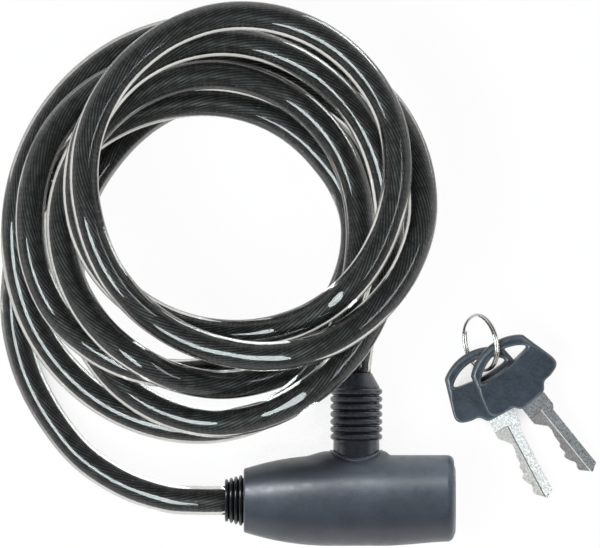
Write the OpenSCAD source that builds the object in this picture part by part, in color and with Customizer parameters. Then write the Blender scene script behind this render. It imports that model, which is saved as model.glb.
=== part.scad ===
// Cable lock: an 8 mm jacketed wire cable lying in a loose coil, a barrel lock
// fixed to one end, a plug on the other end pushed into the barrel, and two keys
// on a split ring. Units are millimetres, Z is up and the floor is at Z = 0.

/* [Cable] */
// Outside diameter of the jacketed cable
cable_d = 8; // [7:0.25:9]
// Room left between two turns of the coil that lie on each other
turn_spacing = 1.3; // [1.3:0.1:2]

/* [Lock barrel] */
// Radius of the moulded cover at its widest
barrel_r = 12.5; // [12:0.25:15]
// Distance from the plug's axis to the flat key end
key_end = 26.9; // [26:0.5:34]
// Distance from the plug's axis to the nose where the cable enters
nose_length = 31; // [30:0.5:38]
// Radius of the nose
nose_r = 8.7; // [8.5:0.1:10]
// Wall of the moulded cover
cover_wall = 1.6; // [1.2:0.1:2]
// Radius of the raised boss around the plug socket
boss_r = 8.4; // [8:0.1:9.5]
// Height of the boss above the barrel
boss_rise = 1.4; // [0.8:0.1:3]
// Where the swelling towards the boss starts on the nose side
swell_from = -19; // [-22:0.5:-17]
// Length of the ribbed bend relief at the nose
relief_length = 5.2; // [4:0.2:9]

/* [Plug] */
// Radius of the steel locking pin
pin_r = 4; // [3.6:0.1:4.1]
// Length of the locking pin below the barrel's axis
pin_reach = 7.8; // [7.4:0.1:8]
// Radius of the plug's smooth neck
neck_r = 6.35; // [6.1:0.05:6.5]
// Number of ribs on the plug grip
grip_ribs = 7; // [4:1:9]
// Depth of a grip rib
rib_depth = 0.75; // [0.4:0.05:1]
// Distance from the barrel's axis to the top of the plug grip
grip_top = 35; // [32:0.5:40]

/* [Cylinder] */
// Radius of the brass cylinder shell
shell_r = 8; // [7.6:0.1:8.3]
// Radius of the turning core
core_r = 5.45; // [5.3:0.05:5.6]
// Number of wafer tumblers
wafers = 5; // [3:1:6]
// Thickness of one wafer
wafer_t = 0.9; // [0.6:0.05:1.1]
// Travel of the wafers when the key is drawn
wafer_travel = 0.8; // [0.4:0.1:0.9]
// Turn of the core between open and locked, in degrees
core_turn = 90; // [60:15:90]
// Sideways travel of the latch plate
latch_travel = 1.6; // [1.2:0.1:1.6]

/* [Keys] */
// Width of a key's moulded bow
bow_width = 23.8; // [22.8:0.2:25]
// Length of the bow
bow_length = 19.4; // [18.8:0.2:20.2]
// Thickness of the bow
bow_t = 3.4; // [2.8:0.1:3.6]
// Length of the blade in front of the bow
blade_length = 26.3; // [25.4:0.3:28]
// Thickness of the blade
blade_t = 2; // [1.6:0.1:2.4]
// Width of the rim between the bow's slot and its edge
bow_rim = 2.8; // [2.4:0.1:3]

/* [Key ring] */
// Radius of the ring at the middle of its wire
ring_r = 7.7; // [7.5:0.1:7.9]
// Radius of the wire
ring_wire_r = 0.42; // [0.3:0.02:0.48]

/* [Hidden] */
$fn = 64;

// Clearances: a running fit, a push fit and the play of a loose piece
run_fit = 0.05;
push_fit = 0.02;
play = 0.3;

// Everything is drawn on a floor plan whose coil centre and lock are set here,
// then moved so that the frame's origin lies under the middle of the lock and keys
coil_centre = [-22.1, 15.2];
lock_at = [15.5, -62.3];
cable_r = cable_d / 2;
nose_x = -nose_length;
relief_x = nose_x - relief_length;

// Key places: where the blade leaves the bow, heading and downward tilt of each
key_1_at = [64, -34.6, 7.1];
key_1_turn = -51;
key_1_tilt = 12;
key_2_at = [55.4, -38.7, 3.85];
key_2_turn = -62;
key_2_tilt = 5.5;
ring_at = [49.8, -18.9, 7.6];
ring_turn = 12;
ring_tilt = 57;

// The blade keeps a straight back at +Y and has its cuts on the -Y edge
blade_back = 2.8;

// Frame origin on the plan: the middle of lock and keys, worked out from their ends
plan_left = lock_at[0] + relief_x;
plan_right = key_1_at[0] + (blade_length - 1.3) * cos(key_1_turn) * cos(key_1_tilt)
    - blade_back * sin(key_1_turn) + blade_t / 2 * sin(key_1_tilt) * cos(key_1_turn);
plan_back = ring_at[1] + ring_r + ring_wire_r;
plan_front = lock_at[1] - barrel_r;
frame_at = [(plan_left + plan_right) / 2, (plan_back + plan_front) / 2];

module on_plan() {
    translate([-frame_at[0], -frame_at[1], 0])
        children();
}

// Lock frame: X along the barrel to the key end, Y along the plug, Z up
module in_lock() {
    on_plan()
        translate([lock_at[0], lock_at[1], barrel_r])
            children();
}

// A solid turned about the barrel's axis, from an outline of [x, radius] points
module turned_x(outline) {
    rotate([0, 90, 0])
        rotate_extrude()
            polygon([for (p = outline) [p[1], p[0]]]);
}

// A solid turned about the plug's axis, from an outline of [radius, y] points
module turned_y(outline) {
    rotate([-90, 0, 0])
        rotate_extrude()
            polygon(outline);
}

// Round bars along the three axes, from one end to the other
module bar_x(r, x0, x1) {
    translate([x0, 0, 0])
        rotate([0, 90, 0])
            cylinder(r = r, h = x1 - x0);
}

module bar_y(r, y0, y1) {
    translate([0, y0, 0])
        rotate([-90, 0, 0])
            cylinder(r = r, h = y1 - y0);
}

module bar_z(r, z0, z1) {
    translate([0, 0, z0])
        cylinder(r = r, h = z1 - z0);
}

// A block given by its two opposite corners
module block(a, b) {
    translate(a)
        cube(b - a);
}

// ---------------------------------------------------------------- barrel
// The nose is a shallow arc that meets the straight part at nose_blend
nose_blend = -11;
nose_arc = (pow(nose_blend - nose_x, 2) + pow(barrel_r - nose_r, 2)) / (2 * (barrel_r - nose_r));
end_corner = 2.8;
face_r = shell_r + play;
end_dome = 0.4;

function nose_radius(x) = barrel_r - nose_arc + sqrt(pow(nose_arc, 2) - pow(nose_blend - x, 2));

// Outline of the barrel moved inwards by a wall: nose arc, straight, rounded key end
function barrel_outline(wall) = concat(
    [[nose_x + wall, 0], [nose_x + wall, nose_r - wall - 0.7]],
    [for (i = [0 : 10]) let (x = nose_x + wall + 0.5 + i * (nose_blend - nose_x - wall - 0.5) / 10)
        [x, nose_radius(x) - wall]],
    [for (i = [0 : 5]) let (a = 90 - i * 18)
        [key_end - end_corner + (end_corner - wall) * cos(a),
         barrel_r - end_corner + (end_corner - wall) * sin(a)]],
    [[key_end + end_dome - wall, face_r + 1], [key_end + end_dome - wall, 0]]
);

socket_r = neck_r + run_fit + 0.05;
socket_ring_r = socket_r + 0.85;
socket_floor = 6.5;
boss_top = barrel_r + boss_rise;

// The swelling is a round bar that climbs out of the barrel and ends inside the boss
swell_r = 9.2;
swell_low = nose_radius(swell_from) - 0.2;
swell_tilt = atan((boss_top - 0.3 - swell_low) / (-8 - swell_from));

module swelling() {
    translate([swell_from, swell_low, 0])
        rotate([0, 0, swell_tilt])
            translate([0, -swell_r, 0])
                bar_x(swell_r, 0, (-7 - swell_from) / cos(swell_tilt));
}

// The boss is a round tower cut to the curve of a larger barrel, as a saddle
module saddle_tower(r, top) {
    intersection() {
        bar_y(r, 0, top + 2);
        bar_x(top, -r - 1, r + 1);
    }
}

module body_cover() {
    color("#3a4048")
        in_lock()
            difference() {
                union() {
                    turned_x(barrel_outline(0));
                    saddle_tower(boss_r, boss_top);
                    swelling();
                }
                turned_x(barrel_outline(cover_wall));
                bar_y(socket_ring_r + push_fit, 0, boss_top + 1);
                bar_x(face_r, 0, key_end + 2);
                bar_x(nose_r - 2, nose_x - 1, 0);
            }
}

// Where the works lie along the barrel
shell_back = 9.6;
shell_front = key_end - 0.3;
cam_back = 7.45;
cam_t = 0.7;
tab_x = [5.2, 7];
plate_y = [-4.9, -2.9];
plate_x = [-6, 7];
plate_z = [-5.5, 5.5];
ferrule_r = 6.3;
ferrule_x = [nose_x + 1, -11];
cable_stop = -13;
ferrule_pin_x = -20;
ferrule_pin_r = 1.25;
ferrule_pin_z = 9;
cylinder_pin_r = 1;
cylinder_pin_at = [14, -7.3];
bore_r = pin_r + 0.1;

module lock_housing() {
    color("#8b9096")
        in_lock()
            difference() {
                turned_x(barrel_outline(cover_wall + push_fit));
                // plug bore and the recess for the socket ring
                bar_y(bore_r, -pin_reach - 0.4, barrel_r);
                bar_y(socket_ring_r + push_fit, socket_floor, barrel_r);
                // cylinder, clip and cam pockets
                bar_x(shell_r + push_fit, shell_back, key_end + 1);
                bar_x(5.5, cam_back - 0.1, shell_back);
                // latch plate slot and the pocket of its upright tab
                block([plate_x[0] - 0.2, plate_y[0] - 0.1, plate_z[0] - 2.6],
                      [plate_x[1] + 0.2, plate_y[1] + 0.1, plate_z[1] + latch_travel + 0.2]);
                block([tab_x[0] - 0.2, plate_y[0] - 0.1, -3.8],
                      [cam_back, 3.8, 3.8 + latch_travel]);
                // fixed end of the cable
                bar_x(ferrule_r + push_fit, nose_x, ferrule_x[1] + 0.1);
                translate([ferrule_pin_x, 0, 0])
                    bar_z(ferrule_pin_r + push_fit, -ferrule_pin_z, ferrule_pin_z);
                translate([cylinder_pin_at[0], cylinder_pin_at[1], 0])
                    bar_z(cylinder_pin_r + push_fit, -6, 6);
            }
}

module socket_ring() {
    color("#565c63")
        in_lock()
            difference() {
                saddle_tower(socket_ring_r, boss_top + 0.3);
                bar_y(socket_ring_r + 1, -1, socket_floor + 0.05);
                bar_y(socket_r, 0, boss_top + 3);
            }
}

// ---------------------------------------------------------------- cylinder
wafer_first = 11;
wafer_step = 2.2;
wafer_half = [3.4, 4.1];
lug_y = 4.3;
spring_y = 3.9;
spring_r = 0.35;
spring_z = [-2.5, -0.55];
groove_depth = wafer_half[1] + wafer_travel + 0.4;
key_slot = [2.2, 6];
tail_r = 3.3;
clip_x = [8.9, 9.4];
clip_groove_r = 2.7;

module cylinder_shell() {
    broach = [wafer_first - 0.6, wafer_first + wafers * wafer_step];
    w = wafer_half[0] + 0.15;
    color("#c9a24b")
        in_lock()
            difference() {
                bar_x(shell_r, shell_back + 0.05, shell_front);
                bar_x(core_r + run_fit, shell_back - 1, shell_front + 1);
                // grooves that take the wafers when the key is out, at both stops
                block([broach[0], -w, -groove_depth - 0.8], [broach[1], w, groove_depth + 0.8]);
                block([broach[0], -groove_depth - 0.8, -w], [broach[1], groove_depth + 0.8, w]);
                translate([cylinder_pin_at[0], cylinder_pin_at[1], 0])
                    bar_z(cylinder_pin_r + push_fit, -10, 10);
            }
}

module key_core() {
    color("#d9b867")
        in_lock()
            difference() {
                union() {
                    bar_x(core_r, shell_back + 0.15, shell_front + 0.1);
                    bar_x(tail_r, cam_back + cam_t, shell_back + 0.2);
                }
                // keyway
                block([shell_back + 0.5, -key_slot[0] / 2, -key_slot[1] / 2],
                      [key_end + 2, key_slot[0] / 2, key_slot[1] / 2]);
                // one slot for each wafer, with its lug and spring pocket
                for (i = [0 : wafers - 1]) {
                    x = wafer_first + i * wafer_step;
                    block([x - 0.05, -wafer_half[0] - 0.05, -core_r - 1],
                          [x + wafer_t + 0.05, wafer_half[0] + 0.05, core_r + 1]);
                    block([x - 0.05, 0, -0.6],
                          [x + wafer_t + 0.05, lug_y + 0.1, 0.7 + wafer_travel]);
                    translate([x + wafer_t / 2, spring_y, 0])
                        bar_z(spring_r + 0.05, spring_z[0] - 0.05, 0);
                }
                // groove for the clip
                difference() {
                    bar_x(tail_r + 1, clip_x[0] - 0.05, clip_x[1] + 0.05);
                    bar_x(clip_groove_r, clip_x[0] - 1, clip_x[1] + 1);
                }
            }
}

module wafer_tumblers() {
    color("#e0c27a")
        in_lock()
            for (i = [0 : wafers - 1]) {
                x = wafer_first + i * wafer_step;
                window = 2.9 - 0.2 * (i % 3);
                difference() {
                    union() {
                        intersection() {
                            block([x, -wafer_half[0], -wafer_half[1]],
                                  [x + wafer_t, wafer_half[0], wafer_half[1]]);
                            bar_x(core_r - 0.05, x - 1, x + 2);
                        }
                        block([x, 0, -0.5], [x + wafer_t, lug_y, 0.6]);
                    }
                    block([x - 1, -1.3, -window], [x + 2, 1.3, window]);
                }
            }
}

module wafer_springs() {
    color("#b8bcc2")
        in_lock()
            for (i = [0 : wafers - 1])
                translate([wafer_first + i * wafer_step + wafer_t / 2, spring_y, 0])
                    bar_z(spring_r, spring_z[0], spring_z[1]);
}

// The cam's pin stands off the core's axis by the latch plate's travel
cam_pin_r = 0.8;

module drive_cam() {
    color("#9aa0a6")
        in_lock() {
            bar_x(4.5, cam_back, cam_back + cam_t);
            translate([0, latch_travel, 0])
                bar_x(cam_pin_r, tab_x[0] + 0.1, cam_back + 0.1);
        }
}

module core_clip() {
    color("#6f757b")
        in_lock()
            difference() {
                bar_x(5.2, clip_x[0], clip_x[1]);
                bar_x(clip_groove_r + push_fit, clip_x[0] - 1, clip_x[1] + 1);
                block([clip_x[0] - 1, -6, -clip_groove_r - 0.05], [clip_x[1] + 1, 0, clip_groove_r + 0.05]);
            }
}

module cylinder_pin() {
    color("#787e84")
        in_lock()
            translate([cylinder_pin_at[0], cylinder_pin_at[1], 0])
                bar_z(cylinder_pin_r, -5.8, 5.8);
}

// ---------------------------------------------------------------- latch
fork_half = cam_pin_r + 0.5;
latch_spring_x = 2.2;

module latch_plate() {
    color("#a7adb3")
        in_lock()
            difference() {
                union() {
                    block([plate_x[0], plate_y[0], plate_z[0]], [plate_x[1], plate_y[1], plate_z[1]]);
                    block([tab_x[0], plate_y[0], -3.5], [tab_x[1], 3.5, 3.5]);
                }
                bar_y(bore_r + 0.1, plate_y[0] - 1, 4);
                block([tab_x[0] - 1, -1.1, -fork_half], [tab_x[1] + 1, 4, fork_half]);
            }
}

module latch_spring() {
    color("#c2c6cb")
        in_lock()
            translate([-latch_spring_x, (plate_y[0] + plate_y[1]) / 2, 0])
                bar_z(0.9, plate_z[0] - 2.5, plate_z[0] - 0.05);
}

// ---------------------------------------------------------------- fixed end
module fixed_ferrule() {
    color("#aab0b5")
        in_lock()
            difference() {
                bar_x(ferrule_r, ferrule_x[0], ferrule_x[1]);
                bar_x(cable_r + push_fit, ferrule_x[0] - 1, cable_stop + 0.1);
                translate([ferrule_pin_x, 0, 0])
                    bar_z(ferrule_pin_r + push_fit, -10, 10);
            }
}

module ferrule_pin() {
    color("#7d8389")
        in_lock()
            translate([ferrule_pin_x, 0, 0])
                bar_z(ferrule_pin_r, 0.1 - ferrule_pin_z, ferrule_pin_z - 0.1);
}

module cable_end_fixed() {
    color("#4b4a45")
        in_lock()
            difference() {
                bar_x(cable_r, relief_x, cable_stop);
                translate([ferrule_pin_x, 0, 0])
                    bar_z(ferrule_pin_r + push_fit, -10, 10);
            }
}

relief_ribs = 4;
relief_r = [5.9, 7];

module bend_relief() {
    step = relief_length / relief_ribs;
    color("#24272b")
        in_lock()
            difference() {
                union() {
                    for (i = [0 : relief_ribs - 1]) {
                        r = relief_r[0] + (relief_r[1] - relief_r[0]) * i / (relief_ribs - 1);
                        turned_x([[relief_x + i * step, 0], [relief_x + i * step, r - 0.5],
                                  [relief_x + (i + 0.25) * step, r], [relief_x + (i + 0.6) * step, r],
                                  [relief_x + (i + 0.85) * step, r - 0.7],
                                  [relief_x + (i + 1) * step, r - 0.7],
                                  [relief_x + (i + 1) * step, 0]]);
                    }
                    bar_x(ferrule_r - 0.05, nose_x - 0.5, ferrule_x[0] - 0.02);
                }
                bar_x(cable_r + push_fit, relief_x - 1, 0);
            }
}

// ---------------------------------------------------------------- plug
grip_bottom = 8;
band_top = 16.5;
cone_base = grip_top - 4;
sleeve_r = neck_r - 0.95;
cone_r = [6.2, cable_r + 0.4];

module plug_grip() {
    rib_step = (cone_base - band_top) / grip_ribs;
    root = neck_r + 0.1;
    color("#33383f")
        in_lock()
            difference() {
                turned_y(concat(
                    [[0, grip_bottom], [neck_r, grip_bottom], [neck_r, band_top]],
                    [for (i = [0 : grip_ribs - 1], a = [0 : 30 : 180])
                        [root + rib_depth * sin(a), band_top + (i + 0.5 - 0.42 * cos(a)) * rib_step]],
                    [[cone_r[0], cone_base + 0.1], [cone_r[1], grip_top], [0, grip_top]]
                ));
                bar_y(sleeve_r + push_fit, grip_bottom - 1, cone_base - 0.4);
                bar_y(cable_r + push_fit, grip_bottom, grip_top + 1);
            }
}

module plug_ferrule() {
    color("#b4babf")
        in_lock()
            difference() {
                bar_y(sleeve_r, grip_bottom + 3.1, cone_base - 0.5);
                bar_y(cable_r + push_fit, grip_bottom + 5, cone_base + 1);
            }
}

// The pin has a chamfered tip and a groove that the latch plate enters
module plug_pin() {
    root = 2.3;
    color("#c4c9ce")
        in_lock()
            turned_y([[0, -pin_reach], [pin_r - 1, -pin_reach], [pin_r, 1 - pin_reach],
                      [pin_r, plate_y[0] - 0.3], [root, plate_y[0] - 0.3],
                      [root, plate_y[1] + 0.3], [pin_r, plate_y[1] + 0.3],
                      [pin_r, grip_bottom + 0.05], [sleeve_r, grip_bottom + 0.05],
                      [sleeve_r, grip_bottom + 3], [0, grip_bottom + 3]]);
}

module cable_end_plug() {
    color("#4b4a45")
        in_lock()
            bar_y(cable_r, grip_bottom + 5.1, grip_top);
}

// ---------------------------------------------------------------- cable routes
// Route of the short free stretch from the plug to the first turn of the coil,
// on the floor plan
tail_route = [
    [15.5, -27.3, 12.5], [15.7, -24, 12], [16.3, -20, 10], [17.2, -15.5, 7.2],
    [18.1, -11, 5], [19, -6, 4.1], [19.7, -1, 4], [19.8, 4.2, 4]
];

// Route of the free stretch from the last turn of the coil to the barrel's nose
lead_route = [
    [-78.5, -4, 4], [-78.7, -9, 4], [-77.8, -17.5, 4], [-74.5, -28.8, 4], [-68.4, -40, 4.2],
    [-59.9, -50.3, 5.6], [-48.6, -57.7, 8.6], [-37, -61.6, 11.6], [-28, -62.3, 12.5],
    [-20.7, -62.3, 12.5]
];

// Which way the cable runs where each free stretch meets the coil
coil_first_way = [-0.08, 1, 0];
coil_last_way = [-0.1, -1, 0];

// Turns of the coil: radius from the coil's centre every 30 degrees, one row a
// turn, chosen by eye for a loosely thrown coil
spoke = 30;
lead_in_r = 46;
turn_radii = [
    [41, 39.5, 36.5, 35, 34, 35, 39.5, 46, 53, 56, 53, 49.5],
    [46.5, 47, 48, 48.5, 46.5, 42.5, 38, 34, 31.5, 31.5, 34.5, 40],
    [46.5, 54, 57, 55, 48.5, 41.5, 35.5, 33, 33, 36, 42.5, 49.5],
    [55.5, 56, 53, 52.5, 53.5, 54.5, 56, 58.5, 59.5, 57.5, 51, 42],
    [38.5, 38, 38.5, 39.5, 40.5, 42, 43.5, 44, 44.5, 45.5, 45.5, 47],
    [49, 47.5, 43.5, 44, 47, 51, 52, 51.5, 47, 41.5, 41.5, 39],
    [37, 33, 31.5, 32, 35, 42, 52.5, 64.5]
];

// Which turn lies on which, from the floor up, at each spoke
crossing = [0, 6, 3, 5, 4, 1, 2];
turn_order = [
    [0, 6, 5, 4, 1, 3, 2], [0, 6, 5, 3, 4, 1, 2],
    crossing, crossing, crossing, crossing, crossing, crossing,
    [3, 0, 5, 4, 1, 2], [5, 4, 3, 0, 1, 2], [5, 4, 3, 0, 1, 2], [-1, 5, 4, 3, 0, 2, 1]
];

// Extra room under a turn where two turns cross between spokes: [turn, spoke, mm]
cross_room = [[4, 9, 1.2], [2, 11, 0.8], [0, 9, 0.5]];
rest_z = 4;
lift_limit = 10;
dip_limit = 2;
settle_passes = 30;
coil_sweep = 6 * 360 + 180;

// Value of a smooth curve through a list at a place between its knots
function knot(list, i) = list[min(max(i, 0), len(list) - 1)];
function smooth(list, t) =
    let (j = floor(t), f = t - j, a = knot(list, j - 1), b = knot(list, j),
         c = knot(list, j + 1), d = knot(list, j + 2))
    b + 0.5 * f * (c - a + f * (2 * a - 5 * b + 4 * c - d + f * (3 * (b - c) + d - a)));

// Knot number of a turn at a spoke, counted from the lead-in knot
function knot_of(turn, s) = 12 * turn + s + 1;
function room(turn, s) =
    let (hit = [for (c = cross_room) if (c[0] == turn && c[1] == s) c[2]])
    len(hit) > 0 ? hit[0] : 0;

// Least sideways distance of two turns around a spoke, zero where they cross
function side_gap(radii, i, j) =
    let (a = radii_step(radii, i, j, -0.3), b = radii_step(radii, i, j, 0), c = radii_step(radii, i, j, 0.3))
    min(a, b, c) < 0 && max(a, b, c) > 0 ? 0 : min(abs(a), abs(b), abs(c));
function radii_step(radii, i, j, u) = smooth(radii, i + u) - smooth(radii, j + u);

// Pairs [upper knot, lower knot, least rise] for every turn that can touch one below
function rests(radii, pitch) = [
    for (s = [0 : 11], p = [1 : len(turn_order[s]) - 1], q = [0 : p - 1])
        let (i = knot_of(turn_order[s][p], s), j = knot_of(turn_order[s][q], s))
        if (max(i, j) < len(radii))
            let (d = side_gap(radii, i, j))
            if (d < pitch)
                [i, j, sqrt(pitch * pitch - d * d) + room(turn_order[s][p], s)]
];

// Pairs gathered by their upper knot, so that each pass is short
function rests_by_knot(pairs, count) = [
    for (i = [0 : count - 1]) [for (p = pairs) if (p[0] == i) [p[1], p[2]]]
];

// One settling pass: a knot rests on those below and follows its neighbours
function settle(z, supports) = [
    for (i = [0 : len(z) - 1])
        max(concat(
            [rest_z, knot(z, i - 1) - lift_limit, knot(z, i + 1) - lift_limit],
            i > 0 && i < len(z) - 1 ? [(z[i - 1] + z[i + 1]) / 2 - dip_limit] : [],
            [for (p = supports[i]) z[p[0]] + p[1]]
        ))
];
function settled(z, supports, passes) =
    passes == 0 ? z : settled(settle(z, supports), supports, passes - 1);

// Points of the coil's centre line, 24 to a turn, with a straight cable diameter
// at each end
function coil_points() =
    let (radii = concat([lead_in_r], [for (row = turn_radii) each row]),
         supports = rests_by_knot(rests(radii, cable_d + turn_spacing), len(radii)),
         heights = settled([for (r = radii) rest_z], supports, settle_passes),
         first = tail_route[len(tail_route) - 1], last = lead_route[0])
    concat(
        [first, first + cable_d * unit(coil_first_way)],
        [for (a = [0 : 15 : coil_sweep])
            let (t = (a + spoke) / spoke, r = smooth(radii, t))
            [coil_centre[0] + r * cos(a), coil_centre[1] + r * sin(a), max(rest_z, smooth(heights, t))]],
        [last - cable_d * unit(coil_last_way), last]
    );

// Least distance between points of the coil that are more than half a turn apart,
// less the tube's diameter
function coil_gap(points, r) =
    min([for (i = [0 : len(points) - 13], j = [i + 12 : len(points) - 1])
        seg_gap(points[i], points[j], points[min(j + 1, len(points) - 1)])]) - 2 * r;
function seg_gap(p, a, b) =
    let (v = b - a, l = max(v * v, 0.001), t = min(max((p - a) * v / l, 0), 1))
    norm(p - a - t * v);
function path_length(points) = norms([for (i = [1 : len(points) - 1]) norm(points[i] - points[i - 1])], 0);
function norms(list, i) = i == len(list) ? 0 : list[i] + norms(list, i + 1);
function least_gap(route, points, r) =
    min([for (p = route, j = [0 : len(points) - 2]) seg_gap(p, points[j], points[j + 1])]) - 2 * r;

// ---------------------------------------------------------------- swept tubes
function unit(v) = v / norm(v);
function heading(points, i) =
    unit(points[min(i + 1, len(points) - 1)] - points[max(i - 1, 0)]);

// Rings of a tube along points; a corner points down and never goes below the floor
function tube_rings(points, r, sides, first, last) = [
    for (i = [0 : len(points) - 1])
        let (t = i == 0 ? first : i == len(points) - 1 ? last : heading(points, i),
             side = unit(cross(t, [0, 0, 1])), up = cross(side, t))
        for (k = [0 : sides - 1])
            let (a = -90 + k * 360 / sides, p = points[i] + r * (cos(a) * side + sin(a) * up))
            [p[0], p[1], max(0, p[2])]
];

module tube(points, r, sides, first, last) {
    rings = tube_rings(points, r, sides, first, last);
    n = len(points);
    faces = concat(
        [for (i = [1 : sides - 2]) [0, i, i + 1]],
        [for (i = [0 : n - 2], k = [0 : sides - 1])
            [i * sides + k, (i + 1) * sides + k, (i + 1) * sides + (k + 1) % sides]],
        [for (i = [0 : n - 2], k = [0 : sides - 1])
            [i * sides + k, (i + 1) * sides + (k + 1) % sides, i * sides + (k + 1) % sides]],
        [for (i = [1 : sides - 2]) [(n - 1) * sides, (n - 1) * sides + i + 1, (n - 1) * sides + i]]
    );
    polyhedron(points = rings, faces = faces, convexity = 8);
}

// A smooth run of points through a route, a few between each pair
function route_points(route, steps) = concat(
    [for (i = [0 : len(route) - 2], k = [0 : steps - 1]) smooth(route, i + k / steps)],
    [route[len(route) - 1]]
);

coil_r = 0.5125 * cable_d;
joint_gap = 0.02;

module cable_coil() {
    points = coil_points();
    n = len(points);
    later = [for (i = [5 : n - 1]) points[i]];
    earlier = [for (i = [0 : n - 6]) points[i]];
    echo(least_gap_of_coil_to_itself = coil_gap(points, coil_r));
    echo(least_gap_to_tail = least_gap(route_points(tail_route, 3), later, coil_r));
    echo(least_gap_to_lead = least_gap(route_points(lead_route, 3), earlier, coil_r));
    echo(coil_height = max([for (p = points) p[2]]) + coil_r);
    echo(coil_length = path_length(points));
    echo(free_length = path_length(route_points(tail_route, 3)) + path_length(route_points(lead_route, 3)));
    color("#6a675f")
        on_plan()
            tube(points, coil_r, 6, unit(coil_first_way), unit(coil_last_way));
}

// A free stretch stops a hair short of the coil's face
function short_of(points, way, at_end) =
    let (n = len(points), cut = joint_gap * unit(way))
    [for (i = [0 : n - 1])
        at_end && i == n - 1 ? points[i] - cut : !at_end && i == 0 ? points[i] + cut : points[i]];

module cable_tail() {
    points = short_of(route_points(tail_route, 2), coil_first_way, true);
    color("#6a675f")
        on_plan()
            tube(points, coil_r, 8, [0, 1, 0], unit(coil_first_way));
}

module cable_lead() {
    points = short_of(route_points(lead_route, 2), coil_last_way, false);
    color("#6a675f")
        on_plan()
            tube(points, coil_r, 8, unit(coil_last_way), [1, 0, 0]);
}

// ---------------------------------------------------------------- keys
// Key frame: X along the blade to its tip, Y across, Z through the thickness
module place_key(at, turn, tilt) {
    on_plan()
        translate(at)
            rotate([0, 0, turn])
                rotate([0, tilt, 0])
                    children();
}

bow_arc = 13.8;
bow_arc_x = bow_arc - bow_length;
slot_edge = -12.6;
slot_arc = bow_arc - bow_rim;
slot_bulge = 0.9;

// Half of the bow's side and shoulder, from the arc to the neck
bow_half = [[-15.2, 9.4], [-5.6, bow_width / 2 - 0.1], [-4.6, bow_width / 2], [-3.6, bow_width / 2 - 0.5],
            [-2.9, bow_width / 2 - 1.6], [-2.2, 7.6], [-2.4, 6.2], [-1.4, 4.9], [0, 4.3]];

module bow_outline() {
    intersection() {
        translate([bow_arc_x, 0])
            circle(r = bow_arc);
        polygon(concat([[-bow_length - 1, 9.4]], bow_half,
                       [for (i = [len(bow_half) - 1 : -1 : 0]) [bow_half[i][0], -bow_half[i][1]]],
                       [[-bow_length - 1, -9.4]]));
    }
}

// The slot lies between the bar's inner arc and a gentle arc on the blade side
module slot_outline() {
    low_r = (7.9 * 7.9 + slot_bulge * slot_bulge) / (2 * slot_bulge);
    intersection() {
        translate([bow_arc_x, 0])
            circle(r = slot_arc);
        translate([slot_edge + slot_bulge - low_r, 0])
            circle(r = low_r, $fn = 180);
        translate([-bow_length, -7.9])
            square([bow_length, 15.8]);
    }
}

blade_root = 8;

module key_bow() {
    difference() {
        translate([0, 0, -bow_t / 2])
            linear_extrude(bow_t)
                bow_outline();
        translate([0, 0, -bow_t])
            linear_extrude(2 * bow_t)
                slot_outline();
        block([-blade_root - 0.05, -3.65, -blade_t / 2 - 0.02], [1, 3.65, blade_t / 2 + 0.02]);
    }
}

// The blade's outline: the cuts from the shoulder to the tip, then the back and its shoulder
blade_cuts = [[0.4, -3.8], [5.6, -3.8], [8.6, -1.2], [10.4, -1.1], [12.2, -1.6], [14.7, -1.65],
              [15.4, -2.3], [17.7, -2.1], [18.3, -3], [19.2, -2.8], [20.4, -2.25], [21.3, -1.6],
              [22.2, -1.7], [23.2, -2.2], [23.9, -2.1]];

module key_blade() {
    difference() {
        translate([0, 0, -blade_t / 2])
            linear_extrude(blade_t)
                polygon(concat([[-blade_root, -3.6], [0, -3.6]], blade_cuts,
                               [[blade_length - 0.8, -0.4], [blade_length, 0.5],
                                [blade_length - 1.3, blade_back],
                                [5.6, blade_back], [5.2, 3.3], [4.2, 3.75], [0.4, 3.8], [0, 3.6],
                                [-blade_root, 3.6]]));
        // milled step along the cut side and the groove beside it
        block([3.6, -5, blade_t / 2 - 0.5], [blade_length + 1, 0, blade_t]);
        block([5, 0.4, -blade_t], [blade_length + 1, 1.5, -blade_t / 2 + 0.5]);
    }
}

module key_1_blade() {
    color("#b9bdc0")
        place_key(key_1_at, key_1_turn, key_1_tilt)
            key_blade();
}

module key_1_bow() {
    color("#30353d")
        place_key(key_1_at, key_1_turn, key_1_tilt)
            key_bow();
}

module key_2_blade() {
    color("#b9bdc0")
        place_key(key_2_at, key_2_turn, key_2_tilt)
            key_blade();
}

module key_2_bow() {
    color("#30353d")
        place_key(key_2_at, key_2_turn, key_2_tilt)
            key_bow();
}

// Two turns of flat-lying wire, one on the other
module split_ring() {
    color("#d0d3d6")
        on_plan()
            translate(ring_at)
                rotate([0, 0, ring_turn])
                    rotate([0, -ring_tilt, 0])
                        for (side = [-1, 1])
                            rotate_extrude()
                                translate([ring_r, side * 0.8 * ring_wire_r])
                                    circle(r = ring_wire_r, $fn = 24);
}

body_cover();
lock_housing();
socket_ring();
cylinder_shell();
key_core();
wafer_tumblers();
wafer_springs();
drive_cam();
core_clip();
latch_plate();
latch_spring();
cylinder_pin();
fixed_ferrule();
ferrule_pin();
cable_end_fixed();
bend_relief();
plug_grip();
plug_ferrule();
plug_pin();
cable_end_plug();
cable_tail();
cable_coil();
cable_lead();
key_1_blade();
key_1_bow();
key_2_blade();
key_2_bow();
split_ring();
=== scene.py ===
"""Cable lock: a jacketed wire cable lying in a loose coil, a barrel lock with its
plug pushed home, and two keys on a split ring. All lengths below are millimetres
on the floor plan that the lock was drawn on, unless a name says metres."""

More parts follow.
